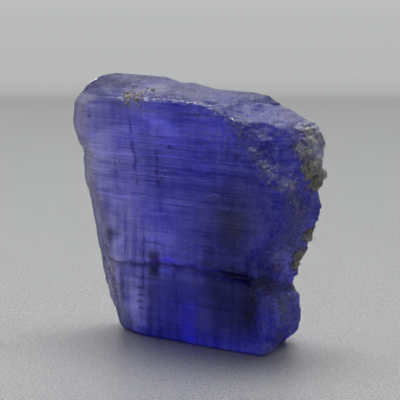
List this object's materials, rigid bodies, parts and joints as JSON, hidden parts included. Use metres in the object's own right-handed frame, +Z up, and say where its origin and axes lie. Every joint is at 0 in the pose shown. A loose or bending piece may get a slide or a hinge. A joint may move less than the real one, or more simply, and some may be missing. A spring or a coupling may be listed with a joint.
{
  "type": "rough tanzanite crystal",
  "caption": "Rough blue-violet tanzanite crystal with a flat striated face, broken right edge and crumbs of host rock, standing on a flat break.",
  "frame": {"origin": "under the middle of the crystal's box, on the surface it stands on", "axes": "+Z up; -Y is the side the broad striated face looks to; +X to the right of that face, along its striations"},
  "size_m": [0.0239, 0.0087, 0.022],
  "materials": {
    "tanzanite": "frosted, striated natural crystal faces, blue-violet, see-through where thin"
  },
  "bodies": {
    "root": {"tanzanite_crystal": "tanzanite"}
  },
  "joints": []
}
